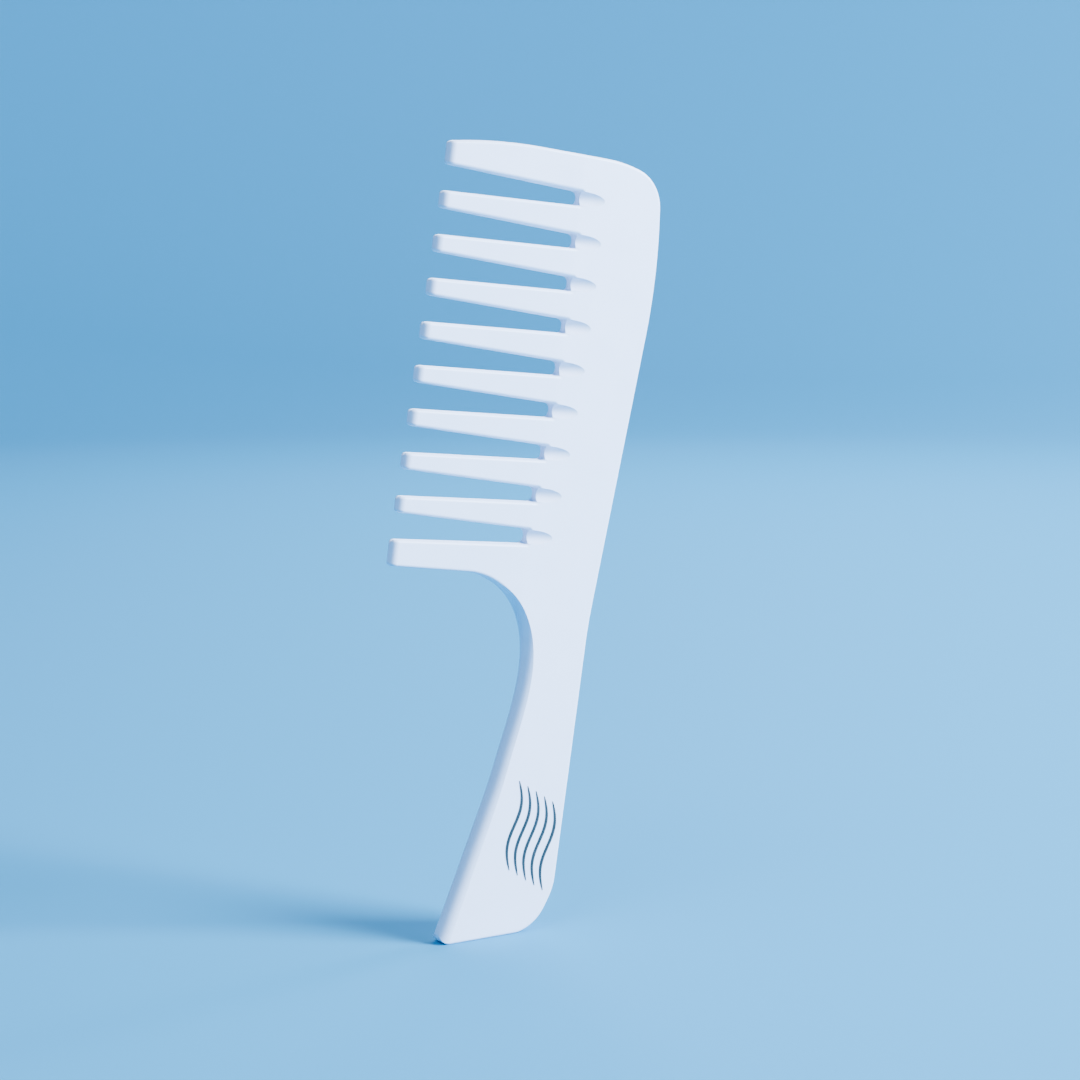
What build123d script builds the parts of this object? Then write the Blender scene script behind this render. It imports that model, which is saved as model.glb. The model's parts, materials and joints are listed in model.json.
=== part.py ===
from build123d import *

import os
from math import acos, atan2, cos, degrees, hypot, pi, radians, sin, sqrt, tan

# Wide tooth comb, in millimetres, standing on the flat end of its handle.
# The comb is drawn in its own flat frame and leaned back at the end:
#   u runs along the teeth, from the tips (0) to the back of the comb,
#   v runs up the row of teeth, with 0 halfway along the row,
#   and the thickness is centred on zero.

# Teeth
tooth_count = 10
tooth_pitch = 11.6
tooth_length = 45.5          # tips to the deepest slot end
tooth_tip_width = 4.3
tooth_side_slope = 0.0371    # each side of a tooth widens by this much per mm
tip_radius = 2.0             # round nose, seen along the row
tip_corner = 1.3             # round corners of the tip, seen from the front
tip_middle = 1.05            # where the line of tips crosses v = 0
tip_line_slant = 0.0365      # the upper teeth start this much further in per mm

# Line of slot ends, a shallow arc
root_arc_radius = 540.0
root_crown_v = 25.0          # height of the deepest slot end
slot_corner = 0.9

# Guard teeth at the two ends of the row
top_guard_tip = 3.35         # centre line of the top tooth to its upper side, at the tip
top_guard_slope = 0.152
top_guard_bend_u = 19.3
top_guard_bend_radius = 135.0
bottom_guard = 4.95          # centre line of the bottom tooth to its underside

# Plate
plate_thickness = 6.5
edge_radius = 0.8
spine_depth = 27.05          # deepest slot end to the back corner
crown_rise = 6.3             # centre line of the top tooth to the top of the comb
shoulder_drop = 3.8          # outer shoulder corner, below the crown
shoulder_width = 12.7        # between the two shoulder corners
shoulder_inset = 2.75        # outer shoulder corner, in from the back corner
shoulder_slant = 0.4         # the inner shoulder corner, below the crown
inner_shoulder_radius = 42.0
outer_shoulder_radius = 11.0
back_corner_v = 28.8
back_corner_radius = 168.0
spine_taper = 9.55           # how far the back comes in towards the handle

# Handle, measured down from the underside of the bottom tooth
lean = 8.0
neck_drop = 12.2
neck_radius = 130.0
waist_drop = 29.3
grip_drop = 58.9
handle_drop = 106.4
throat_width = 21.0          # back of the handle to the throat corner
waist_width = 18.1
grip_width = 24.5
end_width = 36.65
throat_radius = 21.6
waist_radius = 60.0
grip_radius = 95.0
toe_radius = 2.5
heel_height = 11.0
heel_inset = 1.4             # the back of the handle comes in towards the heel
heel_radius = 16.0
heel_cut_width = 5.6
heel_cut_height = 2.0
heel_cut_radius = 13.0
sole_back_gap = 11.4         # back of the handle to the flat sole
sole_radius = 7.0

# Rounded flank along the front of the handle
flank_start = 0.05           # inset of the crease under the bottom tooth
flank_waist = 2.1
flank_end = 2.95
flank_waist_share = 0.34     # how far along the flank the waist lies
flank_lead = 31.0             # where it starts along the front edge
flank_stations = 13

# Scoops at the slot ends, one on each face
scoop_depth = 2.2
scoop_length = 7.0
scoop_radius = 1.95
scoop_start = 3.0            # the cutter starts this far out in the slot

# Print on the handle: wavy strands of hair
ink_thickness = 0.1
strand_count = 5
strand_spacing = 2.9
strand_length = 25.0
strand_width = 1.0
strand_end_width = 0.2
strand_taper = 0.5           # below 1 keeps the strands full towards their ends
strand_sway = 1.5
strand_step = 1.4            # each strand starts this much lower than the last
strand_points = 13
print_height = 27.3          # middle of the print above the sole
print_inset = 11.0           # middle of the print, in from the back of the handle

half = plate_thickness / 2
row_half = tooth_pitch * (tooth_count - 1) / 2
guard_v = -row_half - bottom_guard
neck_v = guard_v - neck_drop
crown_v = row_half + crown_rise
back_u = tooth_length + spine_depth
handle_back_u = back_u - spine_taper
sole_front_u = handle_back_u - end_width
sole_back_u = handle_back_u - sole_back_gap
beyond = 8.0                 # how far cutting shapes reach past what they cut
margin = 2.0                 # the same, across a thin part
seam_gap = 0.1               # seam of a tooth, out from the round slot corners
near = 0.01


def tooth_v(number):
    """Height of a tooth's centre line; tooth 1 is at the top."""
    return row_half - (number - 1) * tooth_pitch


def slot_v(number):
    """Height of the slot below a tooth."""
    return tooth_v(number) - tooth_pitch / 2


def tip_u(number):
    return tip_middle + tip_line_slant * tooth_v(number)


def root_u(v):
    """Where a slot at this height ends, on the root arc."""
    rise = v - root_crown_v
    return tooth_length - root_arc_radius + sqrt(root_arc_radius**2 - rise**2)


def slot_half_width(u):
    return (tooth_pitch - tooth_tip_width) / 2 - tooth_side_slope * u


def seam_u(number):
    """Where a tooth joins the spine, just outside the corners of its slots."""
    slots = [n for n in (number - 1, number) if 1 <= n < tooth_count]
    return min(root_u(slot_v(n)) for n in slots) - slot_corner - seam_gap


def sole_v(u):
    """The sole is level when the comb leans, so it slants in the comb's own frame."""
    return guard_v - handle_drop + u * tan(radians(lean))


# The handle's front edge, from under the bottom tooth down to the toe
front_corners = [
    (-beyond, guard_v),
    (handle_back_u - throat_width, guard_v),
    (handle_back_u - waist_width, guard_v - waist_drop),
    (handle_back_u - grip_width, guard_v - grip_drop),
    (sole_front_u, sole_v(sole_front_u)),
]
front_radii = [throat_radius, waist_radius, grip_radius]


def flat(points, corner_radii):
    """Closed face in the comb's flat frame, with round corners."""
    outline = FilletPolyline(*points, radius=corner_radii, close=True)
    return Plane.XZ * make_face(outline)


def slab(face, thickness):
    return extrude(face, amount=thickness / 2, both=True)


def comb_outline():
    top_tip_v = row_half + top_guard_tip - beyond * top_guard_slope
    outer_shoulder = (back_u - shoulder_inset, crown_v - shoulder_drop)
    inner_shoulder = (outer_shoulder[0] - shoulder_width, crown_v - shoulder_slant)
    heel = (handle_back_u - heel_inset, sole_v(handle_back_u) + heel_height)
    heel_cut_u = handle_back_u - heel_cut_width
    corners = [
        ((-beyond, top_tip_v), 0),
        ((top_guard_bend_u, crown_v), top_guard_bend_radius),
        (inner_shoulder, inner_shoulder_radius),
        (outer_shoulder, outer_shoulder_radius),
        ((back_u, back_corner_v), back_corner_radius),
        ((handle_back_u, neck_v), neck_radius),
        (heel, heel_radius),
        ((heel_cut_u, sole_v(heel_cut_u) + heel_cut_height), heel_cut_radius),
        ((sole_back_u, sole_v(sole_back_u)), sole_radius),
        (front_corners[4], toe_radius),
        (front_corners[3], grip_radius),
        (front_corners[2], waist_radius),
        (front_corners[1], throat_radius),
        (front_corners[0], 0),
    ]
    return flat([point for point, _ in corners], [radius for _, radius in corners])


def slot_outline(number):
    v = slot_v(number)
    end = root_u(v)
    wide = slot_half_width(-2 * beyond)
    narrow = slot_half_width(end)
    points = [(-2 * beyond, v + wide), (end, v + narrow), (end, v - narrow), (-2 * beyond, v - wide)]
    return flat(points, [0, slot_corner, slot_corner, 0])


def block(u_low, u_high, v_low, v_high):
    """Box through the whole thickness between two u and two v values."""
    size = (u_high - u_low, plate_thickness + 2 * beyond, v_high - v_low)
    return Pos((u_low + u_high) / 2, 0, (v_low + v_high) / 2) * Box(*size)


def flank_inset(share):
    """Inset of the crease; share runs from 0 under the tooth to 1 at the toe."""
    if share < flank_waist_share:
        rise = sin(pi / 2 * share / flank_waist_share) ** 2
        return flank_start + (flank_waist - flank_start) * rise
    rise = sin(pi / 2 * (share - flank_waist_share) / (1 - flank_waist_share)) ** 2
    return flank_waist + (flank_end - flank_waist) * rise


def flank_cutter():
    """Hollow-sided bar that leaves the front of the handle round across its thickness."""
    grip, toe = Vector(*front_corners[3]), Vector(*front_corners[4])
    below_toe = toe + (toe - grip).normalized() * beyond
    path = FilletPolyline(*front_corners[:4], below_toe, radius=front_radii)
    first = flank_lead / path.length
    sections = []
    for station in range(flank_stations):
        share = station / (flank_stations - 1)
        place = first + (1 - first) * share
        point = path @ place
        along = path % place
        inward = Vector(-along.Y, along.X)
        depth = flank_inset(share)
        arc = ThreePointArc((depth, half), (0, 0), (depth, -half))
        low, high, outside = -half - margin, half + margin, -margin
        rim = Polyline(
            (depth, -half), (depth, low), (outside, low), (outside, high), (depth, high), (depth, half)
        )
        plane = Plane(
            origin=(point.X, 0, point.Y), x_dir=(inward.X, 0, inward.Y), z_dir=(along.X, 0, along.Y)
        )
        sections.append(plane * make_face([arc, rim]))
    return loft(sections)


def scoops(number):
    """Pair of tilted round cutters that leave a ramp up to each face from a slot end."""
    v = slot_v(number)
    end = root_u(v)
    tilt = degrees(atan2(scoop_depth, scoop_length))
    length = (scoop_length + scoop_start + beyond) / cos(radians(tilt))
    rod = Pos(0, 0, scoop_radius) * Rot(0, 90, 0) * Cylinder(scoop_radius, length)
    pair = []
    for side in (-1, 1):
        shift = length / 2 - (scoop_length + scoop_start) / cos(radians(tilt))
        ramp = Rot(0, -tilt, 0) * Pos(shift - beyond / 2, 0, 0) * rod
        pair.append(Pos(end + scoop_length, side * half, v) * Rot(side * -90, 0, 0) * ramp)
    return pair


def wall_edges(solid, u_low):
    """Long edges round the side walls of the plate, and round the slots."""
    chosen = []
    for face in solid.faces():
        is_wall = face.geom_type == GeomType.PLANE and abs(face.normal_at().Y) < near
        if face.geom_type == GeomType.CYLINDER:
            is_wall = abs(face.axis_of_rotation.direction.Y) > 1 - near
        if not is_wall or face.bounding_box().max.X < u_low:
            continue
        chosen += [edge for edge in face.edges() if abs((edge % 0.5).Y) < 1 - near]
    return ShapeList(chosen)


def plate():
    """Spine, handle and full-thickness teeth in one plate, with round edges."""
    face = comb_outline()
    for number in range(1, tooth_count):
        face -= slot_outline(number)
    body = slab(face, plate_thickness)
    return face, fillet(wall_edges(body, -beyond + near), edge_radius)


def side_profile(number):
    """Tooth seen along the row: full thickness at the seam, round nose at the tip."""
    seam = seam_u(number)
    centre = tip_u(number) + tip_radius
    run = seam - centre
    slant = acos(tip_radius / hypot(half, run)) - atan2(run, half)
    touch = (centre - tip_radius * sin(slant), tip_radius * cos(slant))
    nose = ThreePointArc(touch, (centre - tip_radius, 0), (touch[0], -touch[1]))
    sides = Polyline((touch[0], -touch[1]), (seam, -half), (seam, half), touch)
    return make_face([nose, sides])


def strip_ends(number):
    """Bottom and top of a tooth's own strip; the guard teeth have what is outside the row."""
    bottom = slot_v(number) if number < tooth_count else neck_v
    top = slot_v(number - 1) if number > 1 else crown_v + beyond
    return bottom, top


def strip(number):
    return block(-3 * beyond, seam_u(number), *strip_ends(number))


def tip_mould(number, face):
    """The tooth's outline cut off square at the tip, with the two corners there made round."""
    start = tip_u(number)
    squared = slab(face, plate_thickness) & block(start, seam_u(number), *strip_ends(number))
    corners = squared.edges().filter_by(Axis.Y).filter_by_position(Axis.X, start - near, start + near)
    return fillet(corners, tip_corner)


def tooth(number, face):
    bottom, top = strip_ends(number)
    bar = slab(face, plate_thickness) & strip(number)
    bar &= Pos(0, 0, bottom) * extrude(side_profile(number), amount=top - bottom)
    seam = seam_u(number) - near
    rims = [edge for edge in wall_edges(bar, seam - edge_radius) if edge.center().X < seam]
    return fillet(ShapeList(rims), edge_radius) & tip_mould(number, face)


def strand(index):
    """One wavy strand, pointed at both ends, as a thin solid on the front face."""
    middle = (strand_count - 1) / 2
    offset = (index - middle) * strand_spacing
    top = strand_length / 2 - (index - middle) * strand_step
    left, right = [], []
    for point in range(strand_points):
        share = point / (strand_points - 1)
        fullness = max(sin(pi * share), 0) ** strand_taper
        side = (strand_end_width + (strand_width - strand_end_width) * fullness) / 2
        sway = strand_sway * sin(2 * pi * share)
        height = top - strand_length * share
        left.append((offset + sway - side, height))
        right.append((offset + sway + side, height))
    sides = [Spline(*left), Spline(*right), Line(left[0], right[0]), Line(left[-1], right[-1])]
    return extrude(Plane.XZ * make_face(sides), amount=ink_thickness)


def stand_up(shape):
    """Lean the comb so that its sole is level, with the sole's middle at the origin."""
    sole_middle = (sole_front_u + sole_back_u) / 2
    return Rot(0, lean, 0) * Pos(-sole_middle, 0, -sole_v(sole_middle)) * shape


face, whole = plate()
flank = flank_cutter()

body = whole - flank
for number in range(1, tooth_count):
    for scoop in scoops(number):
        body -= scoop

spine = body & block(-2 * beyond, back_u + beyond, neck_v, crown_v + beyond)
for number in range(1, tooth_count + 1):
    spine -= strip(number)

parts = {
    "spine": spine,
    "handle": body & block(0, back_u + beyond, sole_v(0) - beyond, neck_v),
}
for number in range(1, tooth_count + 1):
    parts[f"tooth_{number:02d}"] = tooth(number, face)
parts[f"tooth_{tooth_count:02d}"] -= flank

print_u = handle_back_u - print_inset
strands = [Pos(print_u, -half, sole_v(print_u) + print_height) * strand(i) for i in range(strand_count)]
parts["handle_print"] = Compound(children=strands)

os.makedirs("parts", exist_ok=True)
for name, shape in parts.items():
    export_step(stand_up(shape), f"parts/{name}.step")
    print(name, round(shape.volume, 1), len(shape.solids()))
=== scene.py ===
"""Wide tooth comb, moulded in white plastic, standing on its handle in a pale studio."""

import json
import math

import bmesh
import bpy
from bpy.props import FloatProperty, FloatVectorProperty, IntProperty, PointerProperty
from mathutils import Matrix, Vector
from mathutils.bvhtree import BVHTree

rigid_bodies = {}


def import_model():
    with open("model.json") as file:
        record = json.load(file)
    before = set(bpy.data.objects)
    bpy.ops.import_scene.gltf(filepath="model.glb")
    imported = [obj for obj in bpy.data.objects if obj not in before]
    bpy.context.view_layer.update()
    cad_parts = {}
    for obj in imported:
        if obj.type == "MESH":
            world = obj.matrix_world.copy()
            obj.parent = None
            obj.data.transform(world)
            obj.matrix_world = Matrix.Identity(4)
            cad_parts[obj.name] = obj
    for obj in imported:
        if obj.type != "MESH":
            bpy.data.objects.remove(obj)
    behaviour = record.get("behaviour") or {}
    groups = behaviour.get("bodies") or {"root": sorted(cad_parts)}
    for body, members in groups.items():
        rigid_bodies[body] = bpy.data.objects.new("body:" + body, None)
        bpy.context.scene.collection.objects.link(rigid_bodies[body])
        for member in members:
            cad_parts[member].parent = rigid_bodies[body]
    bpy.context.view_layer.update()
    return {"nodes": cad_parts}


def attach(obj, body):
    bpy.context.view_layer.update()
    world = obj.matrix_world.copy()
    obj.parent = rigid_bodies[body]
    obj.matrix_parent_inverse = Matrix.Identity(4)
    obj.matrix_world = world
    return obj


for leftover in list(bpy.data.objects):
    bpy.data.objects.remove(leftover)
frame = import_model()

bl_info = {
    "name": "Wide Tooth Comb",
    "version": (1, 1, 0),
    "blender": (4, 5, 0),
    "location": "3D View > Sidebar > Comb",
    "description": "Finishes, parting line, print and studio for a moulded wide tooth comb",
    "category": "Object",
}

MM = 0.001
LEAN = math.radians(8.0)      # the comb leans this far back from upright
PRINT = "handle_print"
MOULDED = sorted(name for name in frame["nodes"] if name != PRINT)
TOUCHING = 0.01 * MM          # closer than this, two parts share a seam
SAME = 0.001 * MM             # closer than this, two corners are one
WELD = 0.04 * MM              # chain ends closer than this are joined

# White plastic: sizes of its patterns, and how strongly each shows
SINK_SIZE = 18 * MM           # slow hollows left as the thick middle cools
SINK_DEPTH = 0.3 * MM
SINK_STRENGTH = 0.3
CLOUD_SIZE = 7 * MM           # patches rubbed smoother, and slightly dimmer
CLOUD_DIMMEST = 0.955
RUBBED = 0.06                 # how much the roughness varies either way
GRAIN_DEPTH = 0.012 * MM
GRAIN_STRENGTH = 0.4
HAIRLINE_LENGTH = 9 * MM
HAIRLINE_GAP = 0.5 * MM
HAIRLINE_DEPTH = 0.01 * MM
HAIRLINE_STRENGTH = 0.3
HAIRLINE_ROUGHNESS = 0.08
HAIRLINE_START, HAIRLINE_FULL = 0.6, 0.72
PATTERN_LOW, PATTERN_HIGH = 0.3, 0.7      # where a noise pattern has most of its values
POLYPROPYLENE_IOR = 1.49

# Ink
INK_SPECK = 0.5 * MM
INK_THIN = 1.5                # how much paler the ink is where it lies thin
INK_SMOOTH, INK_ROUGH = 0.38, 0.5
INK_IOR = 1.5

# Backdrop paper
PAPER_ROUGHNESS = 0.8
PAPER_SHINE = 0.2

# Studio
LIGHTS = {
    # name: place, what it points at, width and height, share of the key's power, colour
    "key": ((1.0, -0.95, 0.75), (0.0, 0.0, 0.11), (0.7, 0.8), 1.0, (0.64, 0.79, 1.0)),
    "side": ((-0.7, -0.4, 1.5), (0.0, 0.0, 0.11), (0.7, 0.6), 0.09, (0.66, 0.82, 1.0)),
    "behind": ((0.8, 0.95, 0.85), (0.0, 0.0, 0.11), (0.8, 0.7), 0.1, (0.66, 0.82, 1.0)),
    "back": ((1.5, 0.2, 1.1), (0.9, 2.0, 0.7), (0.9, 0.9), 0.35, (0.66, 0.82, 1.0)),
}
FLOOR_FLAT = 1.5              # how far out the floor is level, all round
FLOOR_BEND = 0.9              # radius of its curve up into the backdrop
FLOOR_TOP = 3.0
FLOOR_STEPS = 24
FLOOR_SIDES = 96
CAMERA_PLACE = (-0.3480, -0.60275, 0.2037)
CAMERA_YAW = math.radians(31.56)
CAMERA_PITCH = math.radians(7.64)
CAMERA_ROLL = math.radians(-0.2)
SENSOR = 36.0
NEAREST = 0.05


def srgb(code):
    """Hex colour to the linear values that shaders take."""
    channels = [int(code[i : i + 2], 16) / 255 for i in (1, 3, 5)]
    return tuple(c / 12.92 if c <= 0.04045 else ((c + 0.055) / 1.055) ** 2.4 for c in channels)


def solid(colour, share=1.0):
    """Colour with an alpha of one, brighter or darker by a share."""
    return tuple(channel * share for channel in colour) + (1.0,)


class CombPlastic(bpy.types.PropertyGroup):
    """Moulded white plastic."""

    colour: FloatVectorProperty(
        name="Plastic", description="Colour of the moulding", subtype="COLOR", default=srgb("#E9EEFF")
    )
    roughness: FloatProperty(
        name="Roughness",
        description="Satin of the mould's finish",
        subtype="FACTOR",
        min=0,
        max=1,
        default=0.36,
    )
    grain: FloatProperty(
        name="Grain",
        description="Width of one grain of the mould's finish",
        subtype="DISTANCE",
        default=0.35 * MM,
    )


class CombParting(bpy.types.PropertyGroup):
    """Ridge where the two halves of the mould met."""

    width: FloatProperty(
        name="Parting line",
        description="Width of the ridge; half of it stands proud",
        subtype="DISTANCE",
        default=0.24 * MM,
    )
    sides: IntProperty(name="Ridge sides", description="Flats round the ridge", min=4, default=8)


class CombPrint(bpy.types.PropertyGroup):
    """Pad-printed ink."""

    colour: FloatVectorProperty(
        name="Ink", description="Colour of the printed strands", subtype="COLOR", default=srgb("#0A252E")
    )


class CombStudio(bpy.types.PropertyGroup):
    """Floor, light and camera."""

    floor: FloatVectorProperty(
        name="Floor",
        description="Colour of the floor and backdrop",
        subtype="COLOR",
        default=srgb("#2A90B8"),
    )
    air: FloatVectorProperty(
        name="Air",
        description="Colour of the light from all round",
        subtype="COLOR",
        default=srgb("#5FB8DC"),
    )
    air_strength: FloatProperty(name="Air strength", description="Light from all round", min=0, default=0.08)
    key_power: FloatProperty(
        name="Key", description="Power of the large soft light", subtype="POWER", default=165.0
    )
    focal: FloatProperty(
        name="Lens",
        description="Focal length on a 36 mm sensor",
        subtype="DISTANCE_CAMERA",
        default=86.67,
    )


def node(tree, kind, links=None, **settings):
    """Adds one node; links maps an input to an output socket or a value."""
    made = tree.nodes.new(kind)
    for key, value in settings.items():
        setattr(made, key, value)
    for key, value in (links or {}).items():
        socket = made.inputs[key]
        if isinstance(value, bpy.types.NodeSocket):
            tree.links.new(value, socket)
        else:
            socket.default_value = value
    return made


def new_material(name):
    material = bpy.data.materials.new(name)
    material.use_nodes = True
    material.node_tree.nodes.clear()
    return material, material.node_tree


def spread(tree, value, low, high, to_low, to_high):
    """Stretches the middle of a pattern over a range."""
    ends = {"Value": value, "From Min": low, "From Max": high, "To Min": to_low, "To Max": to_high}
    return node(tree, "ShaderNodeMapRange", ends).outputs["Result"]


def white_polypropylene(look):
    """Injection-moulded polypropylene, white through and through, with a satin skin.

    The mould leaves a fine even grain, the thick middle sinks a little as it cools,
    and use rubs the face smoother in places and leaves hairlines along the teeth.
    """
    material, tree = new_material("white polypropylene, satin mould finish")
    place = node(tree, "ShaderNodeTexCoord").outputs["Object"]
    along = node(tree, "ShaderNodeMapping", {"Vector": place, "Rotation": (0, LEAN, 0)}).outputs["Vector"]
    grain = node(tree, "ShaderNodeTexNoise", {"Vector": place, "Scale": 1 / look.grain, "Detail": 2.0})
    sink = node(tree, "ShaderNodeTexNoise", {"Vector": along, "Scale": 1 / SINK_SIZE, "Detail": 1.0})
    cloud = node(tree, "ShaderNodeTexNoise", {"Vector": along, "Scale": 1 / CLOUD_SIZE, "Detail": 4.0})
    stretch = {"Vector": along, "Scale": (1 / HAIRLINE_LENGTH, 1 / HAIRLINE_GAP, 1 / HAIRLINE_GAP)}
    stretched = node(tree, "ShaderNodeMapping", stretch).outputs["Vector"]
    hair = node(tree, "ShaderNodeTexNoise", {"Vector": stretched, "Scale": 1.0, "Detail": 3.0})
    scratch = spread(tree, hair.outputs["Fac"], HAIRLINE_START, HAIRLINE_FULL, 0.0, 1.0)
    smooth, rough = look.roughness - RUBBED, look.roughness + RUBBED
    rubbed = spread(tree, cloud.outputs["Fac"], PATTERN_LOW, PATTERN_HIGH, smooth, rough)
    scuffs = {0: scratch, 1: HAIRLINE_ROUGHNESS, 2: rubbed}
    scuffed = node(tree, "ShaderNodeMath", scuffs, operation="MULTIPLY_ADD").outputs["Value"]
    shade = {0: cloud.outputs["Fac"], 6: solid(look.colour, CLOUD_DIMMEST), 7: solid(look.colour)}
    tint = node(tree, "ShaderNodeMix", shade, data_type="RGBA")
    slow = {"Height": sink.outputs["Fac"], "Strength": SINK_STRENGTH, "Distance": SINK_DEPTH}
    wave = node(tree, "ShaderNodeBump", slow).outputs["Normal"]
    fine = {"Height": grain.outputs["Fac"], "Strength": GRAIN_STRENGTH, "Distance": GRAIN_DEPTH}
    fine["Normal"] = wave
    skin = node(tree, "ShaderNodeBump", fine).outputs["Normal"]
    lines = {"Height": scratch, "Strength": HAIRLINE_STRENGTH, "Distance": HAIRLINE_DEPTH, "Normal": skin}
    worn = node(tree, "ShaderNodeBump", lines, invert=True).outputs["Normal"]
    finish = {"Base Color": tint.outputs[2], "Roughness": scuffed, "Normal": worn}
    finish["IOR"] = POLYPROPYLENE_IOR
    shader = node(tree, "ShaderNodeBsdfPrincipled", finish)
    node(tree, "ShaderNodeOutputMaterial", {"Surface": shader.outputs["BSDF"]})
    return material


def printed_ink(look):
    """Pad-printed ink: a thin, nearly opaque film with a slightly uneven lay-down."""
    material, tree = new_material("pad-printed ink, dark blue-green")
    place = node(tree, "ShaderNodeTexCoord").outputs["Object"]
    lay = node(tree, "ShaderNodeTexNoise", {"Vector": place, "Scale": 1 / INK_SPECK, "Detail": 3.0})
    shade = {0: lay.outputs["Fac"], 6: solid(look.colour), 7: solid(look.colour, INK_THIN)}
    tint = node(tree, "ShaderNodeMix", shade, data_type="RGBA")
    shine = spread(tree, lay.outputs["Fac"], PATTERN_LOW, PATTERN_HIGH, INK_SMOOTH, INK_ROUGH)
    finish = {"Base Color": tint.outputs[2], "Roughness": shine, "IOR": INK_IOR}
    shader = node(tree, "ShaderNodeBsdfPrincipled", finish)
    node(tree, "ShaderNodeOutputMaterial", {"Surface": shader.outputs["BSDF"]})
    return material


def matt_paper(colour):
    """Seamless backdrop paper: matt, with almost no shine."""
    material, tree = new_material("matt backdrop paper")
    finish = {"Base Color": solid(colour), "Roughness": PAPER_ROUGHNESS, "Specular IOR Level": PAPER_SHINE}
    shader = node(tree, "ShaderNodeBsdfPrincipled", finish)
    node(tree, "ShaderNodeOutputMaterial", {"Surface": shader.outputs["BSDF"]})
    return material


def finish_node(name, material):
    """Gives a carried-over part its finish."""
    part = frame["nodes"][name]
    part.data.materials.clear()
    part.data.materials.append(material)


class COMB_OT_moulding(bpy.types.Operator):
    """Finishes the spine, handle and teeth as one white moulding"""

    bl_idname = "comb.moulding"
    bl_label = "Moulding"

    def execute(self, context):
        plastic = white_polypropylene(context.scene.comb_plastic)
        for name in MOULDED:
            finish_node(name, plastic)
        return {"FINISHED"}


def skin_tree(name):
    """Search tree over the faces of a carried-over part."""
    mesh = frame["nodes"][name].data
    points = [vert.co for vert in mesh.vertices]
    return BVHTree.FromPolygons(points, [tuple(face.vertices) for face in mesh.polygons])


def parting_chain():
    """Closed chain of edges at mid-thickness, all round the comb and between its teeth."""
    skins = {name: skin_tree(name) for name in MOULDED}
    chain = bmesh.new()
    for name in MOULDED:
        others = [skin for other, skin in skins.items() if other != name]
        part = bmesh.new()
        part.from_mesh(frame["nodes"][name].data)
        bmesh.ops.remove_doubles(part, verts=part.verts, dist=SAME)
        everything = part.verts[:] + part.edges[:] + part.faces[:]
        cut = bmesh.ops.bisect_plane(part, geom=everything, plane_co=(0, 0, 0), plane_no=(0, 1, 0))
        for edge in cut["geom_cut"]:
            if not isinstance(edge, bmesh.types.BMEdge):
                continue
            middle = (edge.verts[0].co + edge.verts[1].co) / 2
            if all(skin.find_nearest(middle, TOUCHING)[0] is None for skin in others):
                chain.edges.new([chain.verts.new(vert.co) for vert in edge.verts])
        part.free()
    bmesh.ops.remove_doubles(chain, verts=chain.verts, dist=WELD)
    loose = [vert for vert in chain.verts if len(vert.link_edges) != 2]
    if loose:
        raise RuntimeError(f"the parting line is open at {len(loose)} points, such as {loose[0].co}")
    mesh = bpy.data.meshes.new("parting_line")
    chain.to_mesh(mesh)
    chain.free()
    return mesh


def ridge_tree():
    """Node tree that makes a round ridge along a closed chain of edges."""
    tree = bpy.data.node_groups.new("ridge along a chain", "GeometryNodeTree")
    sockets = {}
    wanted = {"Geometry": "Geometry", "Width": "Float", "Sides": "Int", "Material": "Material"}
    for name, kind in wanted.items():
        sockets[name] = tree.interface.new_socket(name, in_out="INPUT", socket_type=f"NodeSocket{kind}")
    tree.interface.new_socket("Geometry", in_out="OUTPUT", socket_type="NodeSocketGeometry")
    given = node(tree, "NodeGroupInput").outputs
    curve = node(tree, "GeometryNodeMeshToCurve", {"Mesh": given["Geometry"]})
    reach = node(tree, "ShaderNodeMath", {0: given["Width"], 1: 0.5}, operation="MULTIPLY")
    ring = {"Resolution": given["Sides"], "Radius": reach.outputs["Value"]}
    section = node(tree, "GeometryNodeCurvePrimitiveCircle", ring, mode="RADIUS")
    swept = {"Curve": curve.outputs["Curve"], "Profile Curve": section.outputs["Curve"]}
    ridge = node(tree, "GeometryNodeCurveToMesh", swept)
    real = node(tree, "GeometryNodeRealizeInstances", {"Geometry": ridge.outputs["Mesh"]})
    coat = {"Geometry": real.outputs["Geometry"], "Material": given["Material"]}
    finished = node(tree, "GeometryNodeSetMaterial", coat)
    node(tree, "NodeGroupOutput", {"Geometry": finished.outputs["Geometry"]})
    return tree, {name: socket.identifier for name, socket in sockets.items()}


def grown(name, mesh, tree, inputs):
    """Runs a node tree on a mesh and leaves the result as a plain mesh object."""
    piece = bpy.data.objects.new(name, mesh)
    bpy.context.scene.collection.objects.link(piece)
    modifier = piece.modifiers.new("grow", "NODES")
    modifier.node_group = tree
    for identifier, value in inputs.items():
        modifier[identifier] = value
    ready = bpy.context.evaluated_depsgraph_get()
    result = bpy.data.meshes.new_from_object(piece.evaluated_get(ready), depsgraph=ready)
    piece.modifiers.remove(modifier)
    piece.data = result
    result.polygons.foreach_set("use_smooth", [True] * len(result.polygons))
    return piece


def face_outwards(mesh):
    """Turns every face of a closed mesh outwards."""
    turned = bmesh.new()
    turned.from_mesh(mesh)
    bmesh.ops.recalc_face_normals(turned, faces=turned.faces)
    turned.to_mesh(mesh)
    turned.free()


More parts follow.
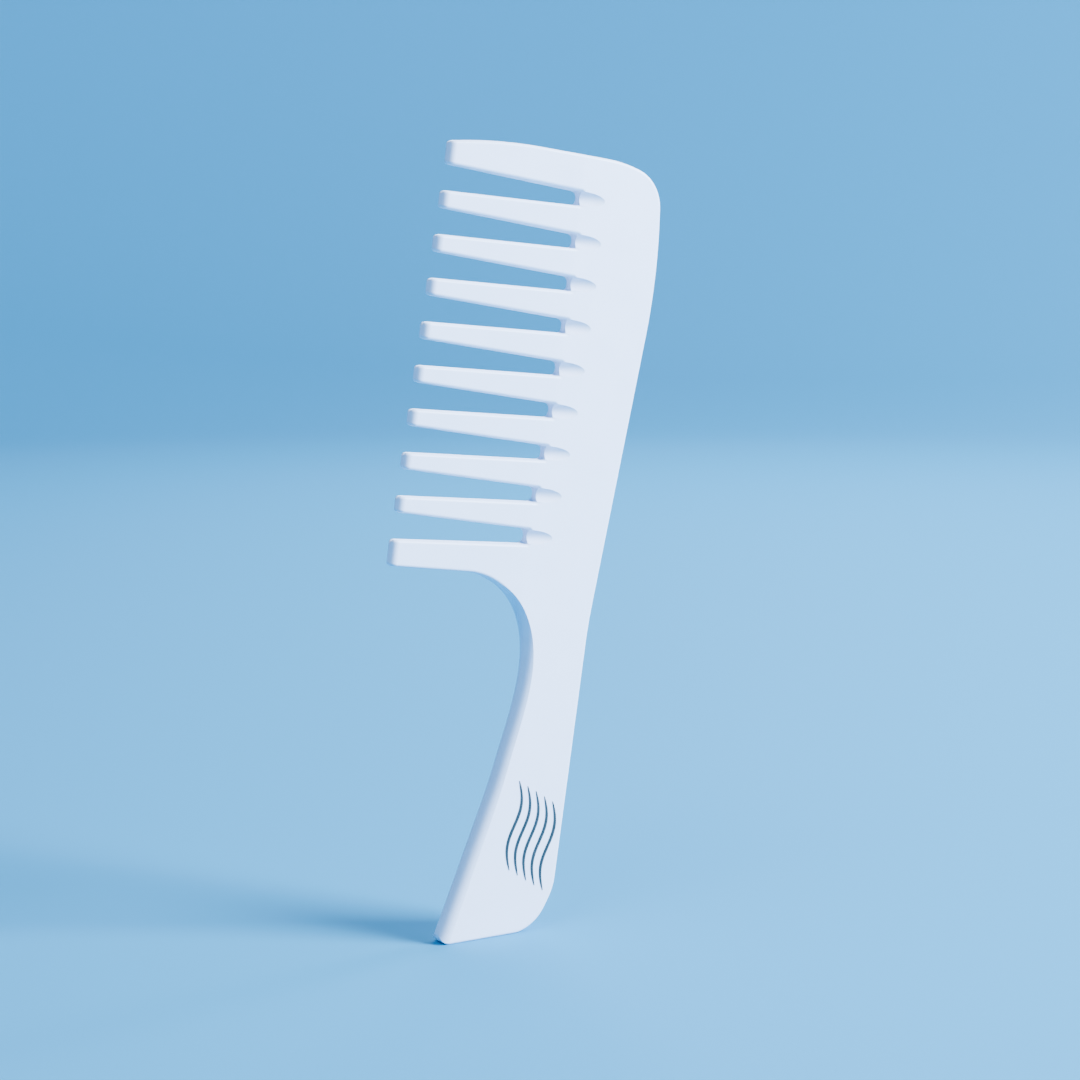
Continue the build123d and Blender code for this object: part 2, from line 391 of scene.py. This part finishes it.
class COMB_OT_parting(bpy.types.Operator):
    """Makes the thin ridge that the two halves of the mould leave at mid-thickness"""

    bl_idname = "comb.parting"
    bl_label = "Parting line"

    def execute(self, context):
        look = context.scene.comb_parting
        tree, sockets = ridge_tree()
        plastic = frame["nodes"][MOULDED[0]].data.materials[0]
        inputs = {sockets["Width"]: look.width, sockets["Sides"]: look.sides, sockets["Material"]: plastic}
        ridge = grown("parting_line", parting_chain(), tree, inputs)
        face_outwards(ridge.data)
        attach(ridge, "root")
        return {"FINISHED"}


class COMB_OT_print(bpy.types.Operator):
    """Finishes the printed strands on the handle"""

    bl_idname = "comb.print"
    bl_label = "Print"

    def execute(self, context):
        finish_node(PRINT, printed_ink(context.scene.comb_print))
        return {"FINISHED"}


def area_light(name, place, aim, size, power, colour):
    data = bpy.data.lights.new(name, "AREA")
    data.shape = "RECTANGLE"
    data.size, data.size_y = size
    data.energy = power
    data.color = colour
    light = bpy.data.objects.new(name, data)
    light.location = place
    light.rotation_euler = (Vector(aim) - Vector(place)).to_track_quat("-Z", "Y").to_euler()
    bpy.context.scene.collection.objects.link(light)


def round_floor(material):
    """Round floor that curves up into a backdrop on every side."""
    profile = [(FLOOR_FLAT, 0.0)]
    for step in range(1, FLOOR_STEPS + 1):
        angle = math.pi / 2 * step / FLOOR_STEPS
        profile.append((FLOOR_FLAT + FLOOR_BEND * math.sin(angle), FLOOR_BEND * (1 - math.cos(angle))))
    profile.append((FLOOR_FLAT + FLOOR_BEND, FLOOR_TOP))
    turns = [2 * math.pi * side / FLOOR_SIDES for side in range(FLOOR_SIDES)]
    points = [(reach * math.cos(turn), reach * math.sin(turn), z) for reach, z in profile for turn in turns]
    faces = [tuple(range(FLOOR_SIDES))]
    for ring in range(len(profile) - 1):
        for side in range(FLOOR_SIDES):
            low, far = ring * FLOOR_SIDES + side, ring * FLOOR_SIDES + (side + 1) % FLOOR_SIDES
            faces.append((low, low + FLOOR_SIDES, far + FLOOR_SIDES, far))
    mesh = bpy.data.meshes.new("floor")
    mesh.from_pydata(points, [], faces)
    mesh.polygons.foreach_set("use_smooth", [True] * len(mesh.polygons))
    mesh.materials.append(material)
    floor = bpy.data.objects.new("floor", mesh)
    bpy.context.scene.collection.objects.link(floor)


def set_camera(focal):
    data = bpy.data.cameras.new("camera")
    data.sensor_width = SENSOR
    data.lens = focal
    data.clip_start = NEAREST
    camera = bpy.data.objects.new("camera", data)
    turn = Matrix.Rotation(-CAMERA_YAW, 4, "Z") @ Matrix.Rotation(math.pi / 2 - CAMERA_PITCH, 4, "X")
    camera.matrix_world = Matrix.Translation(CAMERA_PLACE) @ turn @ Matrix.Rotation(CAMERA_ROLL, 4, "Z")
    bpy.context.scene.collection.objects.link(camera)
    bpy.context.scene.camera = camera


class COMB_OT_stage(bpy.types.Operator):
    """Sets the floor, the soft light and the camera"""

    bl_idname = "comb.stage"
    bl_label = "Studio"

    def execute(self, context):
        look = context.scene.comb_studio
        round_floor(matt_paper(look.floor))
        for name, (place, aim, size, share, colour) in LIGHTS.items():
            area_light(name, place, aim, size, look.key_power * share, colour)
        world = bpy.data.worlds.new("studio")
        world.use_nodes = True
        background = world.node_tree.nodes["Background"]
        background.inputs["Color"].default_value = solid(look.air)
        background.inputs["Strength"].default_value = look.air_strength
        context.scene.world = world
        set_camera(look.focal)
        return {"FINISHED"}


class COMB_PT_panel(bpy.types.Panel):
    """Lists the comb's steps"""

    bl_label = "Wide Tooth Comb"
    bl_idname = "COMB_PT_panel"
    bl_space_type = "VIEW_3D"
    bl_region_type = "UI"
    bl_category = "Comb"

    def draw(self, context):
        for group in GROUPS:
            settings = getattr(context.scene, group)
            for name in settings.__annotations__:
                self.layout.prop(settings, name)
        for step in STEPS:
            self.layout.operator(step.bl_idname)


GROUPS = {
    "comb_plastic": CombPlastic,
    "comb_parting": CombParting,
    "comb_print": CombPrint,
    "comb_studio": CombStudio,
}
STEPS = (COMB_OT_moulding, COMB_OT_parting, COMB_OT_print, COMB_OT_stage)


def register():
    for name, group in GROUPS.items():
        bpy.utils.register_class(group)
        setattr(bpy.types.Scene, name, PointerProperty(type=group))
    for shown in (*STEPS, COMB_PT_panel):
        bpy.utils.register_class(shown)


def unregister():
    for shown in (COMB_PT_panel, *reversed(STEPS)):
        bpy.utils.unregister_class(shown)
    for name, group in GROUPS.items():
        delattr(bpy.types.Scene, name)
        bpy.utils.unregister_class(group)


def main():
    register()
    bpy.ops.comb.moulding()
    bpy.ops.comb.parting()
    bpy.ops.comb.print()
    bpy.ops.comb.stage()


if __name__ == "__main__":
    main()
